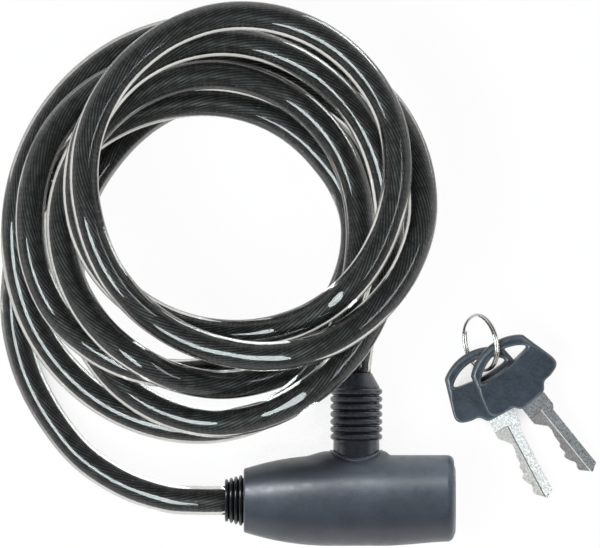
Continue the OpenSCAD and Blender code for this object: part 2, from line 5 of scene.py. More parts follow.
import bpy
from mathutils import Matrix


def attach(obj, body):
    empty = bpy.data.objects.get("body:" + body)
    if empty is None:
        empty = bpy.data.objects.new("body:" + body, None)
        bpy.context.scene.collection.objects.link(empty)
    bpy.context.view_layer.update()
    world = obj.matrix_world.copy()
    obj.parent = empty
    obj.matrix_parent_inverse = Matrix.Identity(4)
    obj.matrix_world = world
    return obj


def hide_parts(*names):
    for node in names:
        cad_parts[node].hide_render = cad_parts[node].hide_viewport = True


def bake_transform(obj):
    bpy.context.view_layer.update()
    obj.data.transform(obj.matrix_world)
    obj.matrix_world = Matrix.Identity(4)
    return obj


bl_info = {
    "name": "Cable lock",
    "version": (1, 0, 0),
    "blender": (4, 5, 0),
    "location": "View3D > Sidebar > Cable lock",
    "description": "Builds the visible surfaces of a coiled cable lock over its CAD frame",
    "category": "Object",
}

import math

import bpy
import numpy as np
from mathutils import Matrix
from bpy.props import FloatProperty, FloatVectorProperty, IntProperty, PointerProperty

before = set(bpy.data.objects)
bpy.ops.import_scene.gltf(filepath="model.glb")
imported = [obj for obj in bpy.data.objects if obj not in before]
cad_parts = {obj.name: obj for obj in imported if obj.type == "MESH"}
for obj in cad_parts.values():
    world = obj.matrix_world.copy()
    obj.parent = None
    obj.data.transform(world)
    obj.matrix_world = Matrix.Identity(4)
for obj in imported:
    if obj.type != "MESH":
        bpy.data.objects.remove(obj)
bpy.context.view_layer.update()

# Millimetres in a metre
MM = 1000.0
# The frame's origin on the floor plan, and the lock's own axes' origin on it
FRAME_AT = np.array([30.498, -42.79, 0.0])
LOCK_AT = np.array([15.5, -62.3, 12.5])


# ---- shaders
class Wire:
    """A shader socket that values can be reckoned with: each sign adds a Math node."""

    def __init__(self, finish, socket):
        self.finish, self.socket = finish, socket

    def math(self, operation, other=0.0, flip=False):
        pair = (other, self) if flip else (self, other)
        return self.finish.add("ShaderNodeMath", {"operation": operation}, dict(enumerate(pair)))

    def __add__(self, other):
        return self.math("ADD", other)

    def __sub__(self, other):
        return self.math("SUBTRACT", other)

    def __rsub__(self, other):
        return self.math("SUBTRACT", other, True)

    def __mul__(self, other):
        return self.math("MULTIPLY", other)

    __radd__, __rmul__ = __add__, __mul__

    def sin(self):
        return self.math("SINE")

    def power(self, exponent):
        return self.math("POWER", exponent)

    def span(self, low, high, to_low=0.0, to_high=1.0):
        """The value moved from one range to another and held inside it."""
        return self.finish.add("ShaderNodeMapRange", {}, {
            "Value": self, "From Min": low, "From Max": high,
            "To Min": to_low, "To Max": to_high})


class Finish:
    """One material, or the world, and the nodes that make it."""

    def __init__(self, name, kind="materials"):
        self.material = getattr(bpy.data, kind).new(name)
        self.material.use_nodes = True
        self.tree = self.material.node_tree
        self.tree.nodes.clear()

    def add(self, kind, settings=None, inputs=None, out=0):
        """A node of that type. Its settings are set first, stops is a ramp's list of
        (place, colour), and inputs holds a value or a Wire for each named socket."""
        node = self.tree.nodes.new(kind)
        for key, value in (settings or {}).items():
            if key == "stops":
                ramp = node.color_ramp.elements
                while len(ramp) < len(value):
                    ramp.new(1.0)
                for stop, (place, colour) in zip(ramp, value):
                    stop.position, stop.color = place, (*colour, 1.0)
            else:
                setattr(node, key, value)
        for key, value in (inputs or {}).items():
            socket = self.socket(node.inputs, key)
            if isinstance(value, Wire):
                self.tree.links.new(value.socket, socket)
            elif hasattr(value, "__len__") and socket.type == "RGBA":
                socket.default_value = (*value, 1.0)[:4]
            else:
                socket.default_value = value
        return None if out is None else Wire(self, self.socket(node.outputs, out))

    @staticmethod
    def socket(sockets, key):
        if isinstance(key, int):
            return sockets[key]
        return next(s for s in sockets if key in (s.identifier, s.name) and s.enabled)

    def place(self, scale=(MM, MM, MM)):
        """Object coordinates, in millimetres unless another scale is given."""
        raw = self.add("ShaderNodeTexCoord", out="Object")
        return self.add("ShaderNodeMapping", {}, {"Vector": raw, "Scale": scale})

    def along(self):
        """The piece's own map: X runs round it once, Y is what its rows were given."""
        return self.add("ShaderNodeUVMap", {"uv_map": "run"})

    def parts(self, vector):
        node = self.add("ShaderNodeSeparateXYZ", {}, {"Vector": vector}).socket.node
        return [Wire(self, s) for s in node.outputs]

    def noise(self, size, detail=3.0, rough=0.5, vector=None):
        """Smooth noise of that grain size, in the vector's units or in millimetres."""
        return self.add("ShaderNodeTexNoise", {}, {
            "Vector": vector or self.place(), "Scale": 1.0 / size,
            "Detail": detail, "Roughness": rough})

    def blend(self, factor, a, b):
        return self.add("ShaderNodeMix", {"data_type": "RGBA"}, {
            "Factor_Float": factor, "A_Color": a, "B_Color": b}, "Result_Color")

    def bump(self, height, depth_mm):
        """Relief of that depth in millimetres for a height from 0 to 1."""
        return self.add("ShaderNodeBump", {}, {
            "Height": height, "Distance": depth_mm / MM, "Strength": 1.0})

    def done(self, inputs):
        """A Principled surface with these sockets, as the material's output."""
        self.add_output(self.add("ShaderNodeBsdfPrincipled", {}, inputs, "BSDF"))
        return self.material

    def seen(self):
        """1 for the camera, mirrors and clear pieces, 0 for the light on matt surfaces."""
        camera = self.add("ShaderNodeLightPath", out="Is Camera Ray")
        mirror, clear = (Wire(self, camera.socket.node.outputs[name])
                         for name in ("Is Glossy Ray", "Is Transmission Ray"))
        return (camera + mirror + clear).span(0, 1)

    def add_output(self, surface):
        world = isinstance(self.material, bpy.types.World)
        self.add("ShaderNodeOutputWorld" if world else "ShaderNodeOutputMaterial",
                 {}, {"Surface": surface}, None)


def shade(colour, k):
    """A colour made k times as bright, held below 1."""
    return tuple(min(1.0, c * k) for c in colour[:3])


# ---- meshes
def metres(points):
    """Floor-plan millimetres to frame metres."""
    return (np.asarray(points, float) - FRAME_AT) / MM


def in_lock(points):
    """Lock millimetres (X to the key end, Y along the plug) to the floor plan."""
    return np.asarray(points, float) + LOCK_AT


def as_points(*parts):
    """Points from an array for each coordinate; a single number is repeated."""
    return np.stack(np.broadcast_arrays(*parts), axis=-1)


def grid_faces(rows, cols, wrap_rows, wrap_cols, start=0):
    """Corner numbers of a grid's four-sided faces, row by row."""
    i = np.arange(rows if wrap_rows else rows - 1)[:, None]
    j = np.arange(cols if wrap_cols else cols - 1)[None, :]
    up, side = (i + 1) % rows, (j + 1) % cols
    return start + np.stack([i * cols + j, i * cols + side, up * cols + side, up * cols + j],
                            axis=-1).reshape(-1, 4)


# How a grid closes: (its rows, its columns, a fan on its first row, one on its last)
HOOP = (True, True, False, False)
ROD = (False, True, True, True)
SLEEVE = (False, True, False, False)
SHEET = (False, False, False, False)


def surface(name, grids, material, flip=False, smooth_by=None, run=None, hole=None):
    """A mesh of one or more grids of points (rows, columns, 3) on the floor plan.
    Each grid is its points and how it closes; a fan runs to the middle of its row.
    run gives the first grid its own map: X goes round its columns once, and Y is run's
    value at each row. hole flags points of the first grid, and a face with all its
    corners flagged is left out. A piece has a run or a hole, not both."""
    points, quads, fans, count = [], [], [], 0
    for grid, wrap_rows, wrap_cols, first, last in grids:
        rows, cols = grid.shape[:2]
        quads.append(grid_faces(rows, cols, wrap_rows, wrap_cols, count))
        points.append(grid.reshape(-1, 3))
        ring, extra = np.arange(cols), count + rows * cols
        for closed, row, turn in ((first, 0, 1), (last, rows - 1, -1)):
            if closed:
                here = count + row * cols + ring
                after = np.roll(here, -1)
                fans.append(np.stack([np.full(cols, extra), after, here][::turn], axis=-1))
                points.append(grid[row].mean(0, keepdims=True))
                extra += 1
        count = extra
    points, quads = np.concatenate(points), np.concatenate(quads)
    fans = np.concatenate(fans) if fans else np.zeros((0, 3), int)
    if hole is not None:
        flagged = np.zeros(count, bool)
        flagged[:hole.size] = hole.ravel()
        quads = quads[~flagged[quads].all(axis=1)]
        used = np.unique(np.concatenate([quads.ravel(), fans.ravel()]))
        number = np.zeros(count, int)
        number[used] = np.arange(len(used))
        points, quads, fans = points[used], number[quads], number[fans]
    if flip:
        quads, fans = quads[:, ::-1], fans[:, ::-1]
    corners = np.concatenate([quads.ravel(), fans.ravel()])
    sizes = np.concatenate([np.full(len(quads), 4), np.full(len(fans), 3)])
    mesh = bpy.data.meshes.new(name)
    mesh.vertices.add(len(points))
    mesh.vertices.foreach_set("co", metres(points).astype(np.float32).ravel())
    mesh.loops.add(len(corners))
    mesh.loops.foreach_set("vertex_index", corners.astype(np.int32))
    mesh.polygons.add(len(sizes))
    mesh.polygons.foreach_set("loop_start", (np.cumsum(sizes) - sizes).astype(np.int32))
    mesh.polygons.foreach_set("use_smooth", np.ones(len(sizes), bool))
    if run is not None:
        rows, cols = grids[0][0].shape[:2]
        i, j = (a.ravel() for a in np.meshgrid(np.arange(rows - 1), np.arange(cols), indexing="ij"))
        u = np.stack([j, j + 1, j + 1, j], axis=-1) / cols
        v = np.stack([run[i], run[i], run[i + 1], run[i + 1]], axis=-1)
        if flip:
            u, v = u[:, ::-1], v[:, ::-1]
        flat = np.zeros((len(corners), 2), np.float32)
        flat[:u.size] = np.stack([u.ravel(), v.ravel()], axis=-1)
        mesh.uv_layers.new(name="run").data.foreach_set("uv", flat.ravel())
    mesh.update()
    mesh.validate()
    if smooth_by is not None:
        mesh.set_sharp_from_angle(angle=math.radians(smooth_by))
    piece = bpy.data.objects.new(name, mesh)
    bpy.context.scene.collection.objects.link(piece)
    mesh.materials.append(material)
    return piece


def saddle(s, z):
    """Height of the boss's rounded top: a circle across the barrel, its crown at the
    boss's height."""
    return s.boss_height - s.saddle_radius + np.sqrt(s.saddle_radius ** 2 - z ** 2)


def full_turn(count):
    """Angles spread evenly round a full turn."""
    return np.linspace(0, 2 * np.pi, count, endpoint=False)


def turned(profile, axis, sides):
    """A profile of (along, radius) turned about the lock's X or Y axis: at angle a
    each point is (along, r cos a, r sin a), with its axes swapped for Y."""
    a = full_turn(sides)[None, :]
    far, r = profile[:, :1], profile[:, 1:]
    c, s = r * np.cos(a), r * np.sin(a)
    return in_lock(as_points(far, c, s) if axis == "X" else as_points(s, far, c))


def arc(centre, radius, start, end, count):
    """Points of an arc in a profile, from one angle in degrees to another."""
    a = np.radians(np.linspace(start, end, count))
    return as_points(centre[0] + radius * np.cos(a), centre[1] + radius * np.sin(a))


def ease(t):
    """Smooth step: 3t^2 - 2t^3 on t held between 0 and 1."""
    t = np.clip(t, 0.0, 1.0)
    return t * t * (3.0 - 2.0 * t)


def smooth(values, t):
    """Catmull-Rom curve through values, at places t counted in knots."""
    v, t = np.asarray(values, float), np.asarray(t, float)
    j = np.floor(t + 1e-9).astype(int)
    f = t - j
    a, b, c, d = (v[np.clip(j + k, 0, len(v) - 1)] for k in (-1, 0, 1, 2))
    if v.ndim > 1:
        f = f[..., None]
    return b + 0.5 * f * (c - a + f * (2 * a - 5 * b + 4 * c - d + f * (3 * (b - c) + d - a)))


# ---- cable route
# The cable's middle line from the plug to the coil, and from the coil to the relief
TAIL_ROUTE = [
    [15.5, -27.3, 12.5], [15.7, -24, 12], [16.3, -20, 10], [17.2, -15.5, 7.2],
    [18.1, -11, 5], [19, -6, 4.1], [19.7, -1, 4], [19.8, 4.2, 4]]
LEAD_ROUTE = [
    [-78.5, -4, 4], [-78.7, -9, 4], [-77.8, -17.5, 4], [-74.5, -28.8, 4], [-68.4, -40, 4.2],
    [-59.9, -50.3, 5.6], [-48.6, -57.7, 8.6], [-37, -61.6, 11.6], [-28, -62.3, 12.5],
    [-20.7, -62.3, 12.5]]
# The ways it runs where the coil begins and ends, and how far it keeps to them
COIL_FIRST_WAY = [-0.08, 1, 0]
COIL_LAST_WAY = [-0.1, -1, 0]
COIL_RUN_IN = 8
# The coil's middle, its turns, and the knots of a turn
COIL_CENTRE = [-22.1, 15.2]
COIL_TURNS = 6.5
TURN_KNOTS = 12
# Radius one knot before the coil, and then at every knot of each turn
LEAD_IN_R = 46
TURN_RADII = [
    [41, 39.5, 36.5, 35, 34, 35, 39.5, 46, 53, 56, 53, 49.5],
    [46.5, 47, 48, 48.5, 46.5, 42.5, 38, 34, 31.5, 31.5, 34.5, 40],
    [46.5, 54, 57, 55, 48.5, 41.5, 35.5, 33, 33, 36, 42.5, 49.5],
    [55.5, 56, 53, 52.5, 53.5, 54.5, 56, 58.5, 59.5, 57.5, 51, 42],
    [38.5, 38, 38.5, 39.5, 40.5, 42, 43.5, 44, 44.5, 45.5, 45.5, 47],
    [49, 47.5, 43.5, 44, 47, 51, 52, 51.5, 47, 41.5, 41.5, 39],
    [37, 33, 31.5, 32, 35, 42, 52.5, 64.5]]
# The turns from the lowest up at each knot of a turn; -1 is the knot before the coil
CROSSING = [0, 6, 3, 5, 4, 1, 2]
TURN_ORDER = [
    [0, 6, 5, 4, 1, 3, 2], [0, 6, 5, 3, 4, 1, 2],
    *[CROSSING] * 6,
    [3, 0, 5, 4, 1, 2], [5, 4, 3, 0, 1, 2], [5, 4, 3, 0, 1, 2], [-1, 5, 4, 3, 0, 2, 1]]
# Extra room under a (turn, knot), and the distance between turns that touch
CROSS_ROOM = {(4, 9): 1.2, (2, 11): 0.8, (0, 9): 0.5}
PITCH = 9.3
# Height of a cable on the floor, the most that it drops from one knot to the next or
# sags below its neighbours' mean, and how often the heights are worked out
REST_Z = 4.0
LIFT_LIMIT = 10.0
DIP_LIMIT = 2.0
SETTLE_PASSES = 30


def coil_heights(radii):
    """Height at every knot: a turn rests on those under it, a pitch away along the
    slope between them, and follows its neighbours without a sharp lift or dip."""
    count = len(radii)
    rests = [[] for _ in range(count)]
    for s, order in enumerate(TURN_ORDER):
        for p in range(1, len(order)):
            for q in range(p):
                i, j = (TURN_KNOTS * order[k] + s + 1 for k in (p, q))
                if max(i, j) >= count:
                    continue
                nearby = np.array([-0.3, 0.0, 0.3])
                gap = smooth(radii, i + nearby) - smooth(radii, j + nearby)
                d = 0.0 if gap.min() < 0 < gap.max() else abs(gap).min()
                if d < PITCH:
                    room = CROSS_ROOM.get((order[p], s), 0.0)
                    rests[i].append((j, math.sqrt(PITCH ** 2 - d ** 2) + room))
    z = [REST_Z] * count
    for _ in range(SETTLE_PASSES):
        z = [max([REST_Z, z[max(i - 1, 0)] - LIFT_LIMIT, z[min(i + 1, count - 1)] - LIFT_LIMIT]
                 + ([(z[i - 1] + z[i + 1]) / 2 - DIP_LIMIT] if 0 < i < count - 1 else [])
                 + [z[j] + rise for j, rise in rests[i]])
             for i in range(count)]
    return z


def coil_knots():
    """Knots of the coil and midway between them, by the lists of radii and turns."""
    radii = [LEAD_IN_R] + [r for row in TURN_RADII for r in row]
    t = np.arange(0, TURN_KNOTS * COIL_TURNS + 0.5, 0.5)
    a = np.radians(t * 360 / TURN_KNOTS)
    r = smooth(radii, t + 1)
    z = np.maximum(REST_Z, smooth(coil_heights(radii), t + 1))
    return as_points(COIL_CENTRE[0] + r * np.cos(a), COIL_CENTRE[1] + r * np.sin(a), z)


def main_route():
    """Knots from the plug through the coil to where the lead begins."""
    first, last = np.array(TAIL_ROUTE[-1], float), np.array(LEAD_ROUTE[0], float)
    way = [np.array(w) / np.linalg.norm(w) for w in (COIL_FIRST_WAY, COIL_LAST_WAY)]
    return np.concatenate([TAIL_ROUTE, [first + COIL_RUN_IN * way[0]], coil_knots(),
                           [last - COIL_RUN_IN * way[1], last]])


def run_of(points):
    """Distance along a line of points."""
    steps = np.linalg.norm(np.diff(points, axis=0), axis=1)
    return np.concatenate([[0.0], np.cumsum(steps)])


def spaced(knots, step):
    """Points a step apart along the smooth curve through knots, never below the floor."""
    gaps, parts = len(knots) - 1, 24
    fine = smooth(knots, np.linspace(0, gaps, parts * gaps + 1))
    fine[:, 2] = np.maximum(fine[:, 2], REST_Z)
    far = run_of(fine)
    at = np.linspace(0, far[-1], int(round(far[-1] / step)) + 1)
    return as_points(*(np.interp(at, far, fine[:, k]) for k in range(3)))


def tube(points, radius, sides, first_way, last_way):
    """Rings about a line: at angle a the ring's point is
    p + r(cos a side + sin a up), side level and square to the line. radius may be a
    function of (distance along, angle)."""
    way = np.gradient(points, axis=0)
    way[0], way[-1] = first_way, last_way
    way /= np.linalg.norm(way, axis=1, keepdims=True)
    side = np.cross(way, [0, 0, 1.0])
    side /= np.linalg.norm(side, axis=1, keepdims=True)
    up = np.cross(side, way)
    a = full_turn(sides)
    r = radius(run_of(points)[:, None], a) if callable(radius) else radius
    ring = np.cos(a)[:, None] * side[:, None] + np.sin(a)[:, None] * up[:, None]
    return points[:, None] + np.asarray(r)[..., None] * ring


def strands(radius, count, lay, from_far):
    """Outer radius of touching round strands laid in a helix: at angle b from the
    nearest strand's middle it is D cos b + sqrt(p^2 - D^2 sin^2 b)."""
    half = math.pi / count
    middle = radius / (1 + math.sin(half))
    own = middle * math.sin(half)

    def outer(far, angle):
        b = (angle - 2 * np.pi * (far + from_far) / lay) % (2 * half) - half
        return middle * np.cos(b) + np.sqrt(np.maximum(own ** 2 - (middle * np.sin(b)) ** 2, 0))
    return outer


# ---- settings
def length(name, text, default, soft_max=100.0):
    return FloatProperty(name=name, description=text + ", in mm", default=default, min=0.01,
                         soft_max=soft_max)


def colour(name, text, default):
    return FloatVectorProperty(name=name, description="Colour of the " + text, size=3,
                               default=default, min=0.0, max=1.0, subtype="COLOR")


def level(name, text, default, soft_max=1.0):
    return FloatProperty(name=name, description=text, default=default, min=0.0,
                         soft_max=soft_max, subtype="FACTOR")


class CABLELOCK_cable(bpy.types.PropertyGroup):
    diameter: length("Diameter", "Outside diameter of the jacket", 8.0, 12.0)
    rope_radius: length("Rope radius", "Radius of the steel rope inside", 2.12, 4.0)
    rope_strands: IntProperty(name="Wires", description="Wires round the rope", default=18,
                              min=6, max=24)
    lay: length("Lay", "Length of one twist of the wires", 54.0)
    jacket: colour("Jacket", "smoky jacket", (0.70, 0.69, 0.655))
    rope: colour("Rope", "rope inside", (0.082, 0.088, 0.092))


class CABLELOCK_barrel(bpy.types.PropertyGroup):
    radius: length("Radius", "Radius of the barrel", 12.5, 20.0)
    nose_radius: length("Nose radius", "Radius of the nose", 8.7, 12.0)
    boss_height: length("Boss", "Height of the plug's boss above the axis", 13.6, 20.0)
    saddle_radius: length("Saddle radius", "Radius of the boss's rounded top", 11.0, 20.0)
    cover: colour("Cover", "moulded cover", (0.064, 0.076, 0.097))
    grip: colour("Grip", "plug's grip", (0.014, 0.018, 0.026))
    relief: colour("Bend relief", "bend relief", (0.009, 0.011, 0.014))


class CABLELOCK_keys(bpy.types.PropertyGroup):
    bow: colour("Bow", "keys' moulded bows", (0.023, 0.031, 0.043))
    # The blades share one nickel silver: the upper blade's colour is painted dark as shade, the lower
    # blade's painted pale as light
    blade_painted_shaded: colour("Upper blade", "upper key's blade", (0.28, 0.285, 0.29))
    blade_painted_lit: colour("Lower blade", "lower key's blade", (0.80, 0.77, 0.745))
    wire_radius: length("Wire radius", "Radius of the split ring's wire", 0.42, 1.0)


class CABLELOCK_light(bpy.types.PropertyGroup):
    floor: colour("Floor", "floor", (0.80, 0.80, 0.80))
    floor_white: level("Floor white", "How white the floor is to the camera", 0.96)
    fill: level("Fill", "Strength of the light from all round", 0.28)
    ceiling: level("Ceiling", "How bright the ceiling is in mirrors", 0.1)
    lamps: level("Lamps", "Strength of the lamps", 1.0, 3.0)


# ---- finishes
def jacket_finish(s):
    """Smoky clear plastic, through which the rope shows enlarged as by a lens."""
    f = Finish("cable_jacket")
    haze = f.noise(6.0, 2.0).span(0.35, 0.65)
    tint = f.blend(haze, shade(s.jacket, 0.92), shade(s.jacket, 1.08))
    scuff = f.noise(1.2, 4.0)
    return f.done({"Base Color": tint, "Roughness": scuff.span(0.3, 0.8, 0.02, 0.05),
                   "Transmission Weight": 1.0, "IOR": 1.5})


def rope_finish(s):
    """Twisted steel wires, dark with age. The colour is painted paler along each wire's
    crown, a painted highlight, and black between them, a painted shade, in uneven strokes."""
    f = Finish("steel_rope")
    x, y, _ = f.parts(f.along())
    lay = x * s.rope_strands - y * (MM / s.lay * s.rope_strands)
    wires = (lay * math.tau).sin() * 0.5 + 0.5
    grime = f.noise(2.6, 4.0, rough=0.7).span(0.36, 0.64)
    # pale crowns are a painted highlight and the black between the wires a painted shade; grime makes
    # the strokes uneven
    tint = f.blend(wires.power(1.6) * (grime * 0.8 + 0.2), shade(s.rope, 0.3), shade(s.rope, 1.9))
    return f.done({"Base Color": tint, "Metallic": 0.5, "Roughness": grime.span(0, 1, 0.55, 0.4)})


def moulded_finish(name, tint, rough, grain=0.22, depth=0.012, gloss=0.35, marks=0.3,
                   highlight_and_wear=None):
    """Moulded plastic or rubber: a fine even grain, slow colour drift, faint marks.
    The last argument is the colour painted where the piece's map has Y at 1: a painted
    highlight on edges and crowns, partly rubbed wear."""
    f = Finish(name)
    drift = f.noise(9.0, 2.0).span(0.3, 0.7)
    speck = f.noise(grain * 2.2, 2.0).span(0.35, 0.65)
    tone = f.blend(drift * 0.6 + speck * 0.4, shade(tint, 1 - marks * 0.6), shade(tint, 1 + marks))
    rubbed = f.noise(2.6, 5.0, rough=0.6).span(0.35, 0.7)
    # the paler colour is a painted highlight, partly rubbed wear, faded in by the map's Y
    if highlight_and_wear is not None:
        edge = f.parts(f.along())[1].span(0, 1)
        tone = f.blend(edge * f.noise(1.5, 3.0).span(0.25, 0.6, 0.45, 1.0), tone, highlight_and_wear)
    return f.done({"Base Color": tone, "Roughness": rubbed.span(0, 1, rough - 0.06, rough + 0.08),
                   "Specular IOR Level": gloss,
                   "Normal": f.bump(f.noise(grain, 2.0), depth)})


def metal_finish(name, tint, rough, grain, depth, spread=0.25, brushed=None):
    """Bare metal: tint drifting a little, its own grain and small scratches. brushed
    stretches the grain twentyfold along one axis."""
    f = Finish(name)
    scale = [MM / grain] * 3
    if brushed is not None:
        scale["XYZ".index(brushed)] *= 0.05
    fine = f.noise(1.0, vector=f.place(tuple(scale)))
    drift = f.noise(5.0, 3.0).span(0.3, 0.7)
    tone = f.blend(drift * 0.5 + fine.span(0.3, 0.7) * 0.5,
                   shade(tint, 1 - spread), shade(tint, 1 + spread * 0.6))
    return f.done({"Base Color": tone, "Metallic": 1.0,
                   "Roughness": fine.span(0.3, 0.7, max(rough - 0.1, 0.03), rough + 0.1),
                   "Normal": f.bump(fine, depth)})


# Where a blade's finish changes: shares of the way round it, to the step's wall, the
# milled side and the underside, and metres along it, where the step begins
WALL_FROM, MILLED_FROM, MILLED_TO = (0.245, 0.25), (0.30, 0.31), (0.62, 0.63)
STEP_FROM = (0.0114, 0.0118)


def blade_finish(name, flat, milled, line, metal):
    """Nickel silver with the sparkling grain of a tumbled blank. The map's X, round
    the section, tells the flat face from the milled wall of the step and the cut side.
    The flat colour is painted dark on one key as shade and pale on the other as light;
    the line colour, on the step's wall, is a painted highlight on one and a painted shade on the other."""
    f = Finish(name)
    around, far, _ = f.parts(f.along())
    stepped = far.span(*STEP_FROM)
    cut = around.span(*MILLED_FROM) * around.span(*MILLED_TO, 1.0, 0.0) * stepped
    wall = around.span(*WALL_FROM) * around.span(*MILLED_FROM, 1.0, 0.0) * stepped
    grit = f.noise(0.42, 3.0, rough=0.75)
    fine = grit.span(0.38, 0.62)
    tone = f.blend(cut, f.blend(fine, shade(flat, 0.55), shade(flat, 1.5)),
                   f.blend(fine, shade(milled, 0.7), shade(milled, 1.25)))
    # the step's wall takes the line colour: a painted highlight on the upper key, a painted shade on
    # the lower
    tone = f.blend(wall, tone, line)
    return f.done({"Base Color": tone, "Metallic": metal,
                   "Roughness": grit.span(0.3, 0.7, 0.28, 0.44),
                   "Normal": f.bump(grit, 0.06)})


# ---- operators
def keep(piece, *nodes, body, slot):
    """Joins a new piece to the frame by its body and hides the nodes it stands for; slot is not used.
    """
    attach(piece, body)
    if nodes:
        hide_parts(*nodes)


# The camera hangs over the floor plan's origin: its height, the width it sees on the
# floor and its sensor's width
EYE_HEIGHT, VIEW_WIDTH, SENSOR = 3985.0, 165.6, 36.0
# Half the floor's side, and how far the floor lies below the object
FLOOR_HALF, FLOOR_GAP = 4000.0, 0.2
# Metres within which a piece darkens the floor's glow as a painted shadow, the share of open sky at
# its darkest and palest, and how bright the floor is there
SHADE_REACH, SHADE_SKY, SHADE_LEVEL = 0.03, (0.04, 0.27), (0.08, 1.0)
# Sines of the heights at which the white walls end and the ceiling begins
WALL_TOP, CEILING_FROM = 0.12, 0.5
# Name, place and size in metres, watts and colour. Each faces the origin, its longer
# side level.
LAMPS = (
    ("lamp_key", (-0.62, -0.38, 1.28), (0.56, 1.35), 26, (0.90, 0.985, 1.0)),
    ("lamp_back", (-0.60, 0.93, 1.12), (0.42, 1.4), 27, (0.95, 0.98, 1.0)),
    ("lamp_right", (0.84, 0.06, 1.16), (0.24, 1.0), 3.6, (0.92, 0.96, 1.0)))


def hang_camera(scene):
    """A long lens that looks straight down."""
    lens = bpy.data.cameras.new("camera")
    lens.sensor_width, lens.lens = SENSOR, SENSOR * EYE_HEIGHT / VIEW_WIDTH
    lens.clip_end = 50.0
    eye = bpy.data.objects.new("camera", lens)
    eye.location = (-FRAME_AT[0] / MM, -FRAME_AT[1] / MM, EYE_HEIGHT / MM)
    scene.collection.objects.link(eye)
    scene.camera = eye


def floor_finish(s):
    """Matt to the light, and to the camera and mirrors white, with a painted shadow where the object is
    near.
    """
    f = Finish("pale_floor")
    tone = f.blend(f.noise(40.0, 2.0), shade(s.floor, 0.99), shade(s.floor, 1.0))
    matt = f.add("ShaderNodeBsdfDiffuse", {}, {"Color": tone}, "BSDF")
    # the glow is dimmed by the share of open sky round each point: a painted shadow near the object
    open_sky = f.add("ShaderNodeAmbientOcclusion", {"samples": 8}, {"Distance": SHADE_REACH}, "AO")
    glow = f.add("ShaderNodeEmission", {}, {
        "Color": (1, 1, 1), "Strength": open_sky.span(*SHADE_SKY, *SHADE_LEVEL)}, "Emission")
    f.add_output(f.add("ShaderNodeMixShader", {}, {
        0: f.seen() * s.floor_white, 1: matt, 2: glow}, "Shader"))
    return f.material


def room(s):
    """White walls under a darker ceiling, and a soft fill for matt surfaces."""
    f = Finish("studio", "worlds")
    way = f.add("ShaderNodeTexCoord", out="Generated")
    walls = f.parts(way)[2].span(WALL_TOP, CEILING_FROM, 1.0, s.ceiling)
    f.add_output(f.add("ShaderNodeBackground", {}, {
        "Color": (1, 1, 1), "Strength": f.seen() * (walls - s.fill) + s.fill}, "Background"))
    return f.material


class CABLELOCK_OT_stage(bpy.types.Operator):
    """Lays the pale floor, hangs the lamps and sets the camera"""
    bl_idname = "cablelock.stage"
    bl_label = "Stage"

    def execute(self, context):
        s = context.scene.cablelock_light
        scene = context.scene
        scene.view_settings.view_transform = "Standard"
        hang_camera(scene)
        ends = (-FLOOR_HALF, FLOOR_HALF)
        side = np.array([[[x, y, 0.0] for x in ends] for y in ends])
        floor = surface("floor", [(side, *SHEET)], floor_finish(s))
        floor.location.z = -FLOOR_GAP / MM
        scene.world = room(s)
        for name, place, size, power, tint in LAMPS:
            lamp = bpy.data.lights.new(name, "AREA")
            lamp.shape, (lamp.size, lamp.size_y) = "ELLIPSE", size
            lamp.energy, lamp.color = power * s.lamps, tint
            x, y, z = place
            # a lamp faces its own -Z: leant back, then swung round
            swing, lean = math.atan2(y, x), math.atan2(math.hypot(x, y), z)
            holder = bpy.data.objects.new(name, lamp)
            holder.matrix_world = (Matrix.Translation(place) @ Matrix.Rotation(swing, 4, "Z")
                                   @ Matrix.Rotation(lean, 4, "Y"))
            scene.collection.objects.link(holder)
        return {"FINISHED"}


# Distance between the cable's rings, and the sides of a ring, for the rope by the wire
RING_GAP, JACKET_SIDES, WIRE_SIDES = 1.5, 28, 4


class CABLELOCK_OT_cable(bpy.types.Operator):
    """Lays the jacketed cable along its route, with the steel rope inside"""
    bl_idname = "cablelock.cable"
    bl_label = "Cable"

    def execute(self, context):
        s = context.scene.cablelock_cable
        jacket, steel = jacket_finish(s), rope_finish(s)
        main = spaced(main_route(), RING_GAP)
        lead = spaced(np.array(LEAD_ROUTE, float), RING_GAP)
        to_plug, along_lock = np.array([0, 1.0, 0]), np.array([1.0, 0, 0])
        joint = np.array(COIL_LAST_WAY, float)
        made = []
        for name, points, first, last, begun in (
                ("cable", main, to_plug, joint, 0.0),
                ("cable_lead_run", lead, joint, along_lock, run_of(main)[-1])):
            run = run_of(points) / MM
            coat = tube(points, s.diameter / 2, JACKET_SIDES, first, last)
            lay = strands(s.rope_radius, s.rope_strands, s.lay, begun)
            core = tube(points, lay, s.rope_strands * WIRE_SIDES, first, last)
            made.append((
                surface(name, [(coat, *ROD)], jacket, flip=True, run=run),
                surface(name + "_rope", [(core, *ROD)], steel, flip=True, run=run),
                points))
        (coat, rope, points), (lead_coat, lead_rope, lead_points) = made
        keep(coat, "cable_tail", "cable_coil", body="cable", slot="cable_jacket")
        keep(rope, body="cable", slot="steel")
        for piece, slot in ((lead_coat, "cable_jacket"), (lead_rope, "steel")):
            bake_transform(piece)
        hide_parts("cable_lead")
        return {"FINISHED"}


# Places along the lock's X axis: the nose, where the flank meets the straight part, and
# the key end; the radii of the nose's lip and the key end's corner
NOSE_X, BLEND_X, KEY_END_X = -31.0, -7.0, 26.9
NOSE_LIP, END_CORNER = 0.75, 1.9
# Round the plug's axis: the radius of the socket's mouth, of the saddle, and of the
# skin's swelling across the barrel, with what it gains to the nose and loses to the key
MOUTH, SADDLE_REACH = 7.34, 7.7
SWELL, SWELL_NOSE, SWELL_KEY = 10.8, 3.6, 1.2
# How far the barrel's far side runs in at the key end, from where and over what length,
# and the radius of the end face, which stays round
RUN_IN, RUN_IN_FROM, RUN_IN_OVER, END_FACE = 1.2, 7.0, 20.0, 9.6


